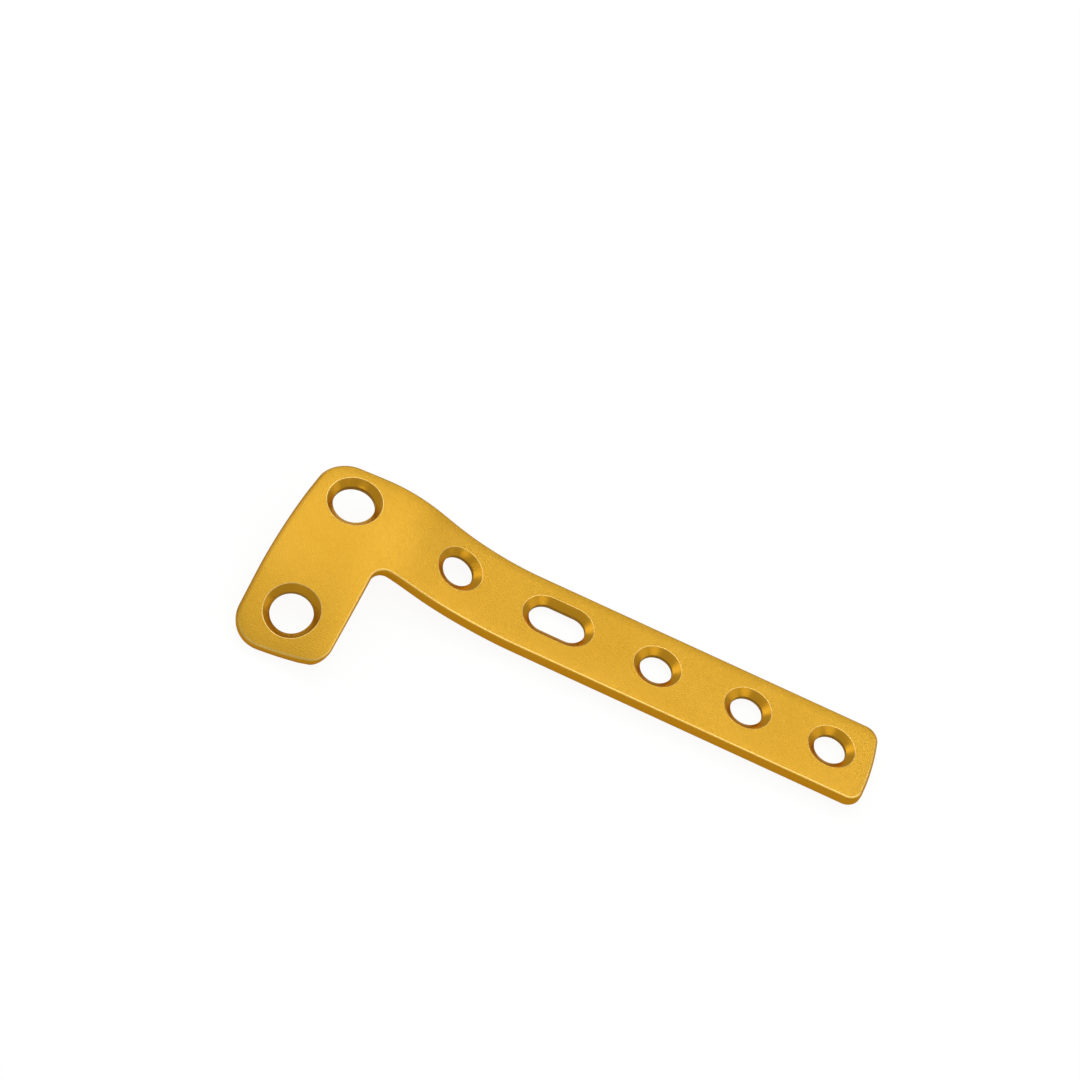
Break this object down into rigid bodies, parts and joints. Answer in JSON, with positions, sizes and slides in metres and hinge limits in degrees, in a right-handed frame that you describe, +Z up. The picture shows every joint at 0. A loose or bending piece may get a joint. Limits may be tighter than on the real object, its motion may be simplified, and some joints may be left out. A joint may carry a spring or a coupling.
{
  "type": "bone plate",
  "caption": "L-shaped bone plate of gold anodised titanium, with countersunk round and oblong screw holes, a shaft that lies flat, a raised neck and a head curved to wrap the bone.",
  "frame": {"origin": "middle of the plate's bounding box, at its base, on the surface that the plate lies on", "axes": "+X along the shaft, from the head to the free end; +Y across the plate, from the foot of the L to the shaft's far side; +Z up, from the face that lies on the bone to the screw heads"},
  "size_m": [0.102, 0.0358, 0.0079],
  "materials": {
    "gold_titanium": "gold anodised titanium, satin, finely blasted"
  },
  "bodies": {
    "root": {"bone_plate": "gold_titanium"}
  },
  "joints": []
}
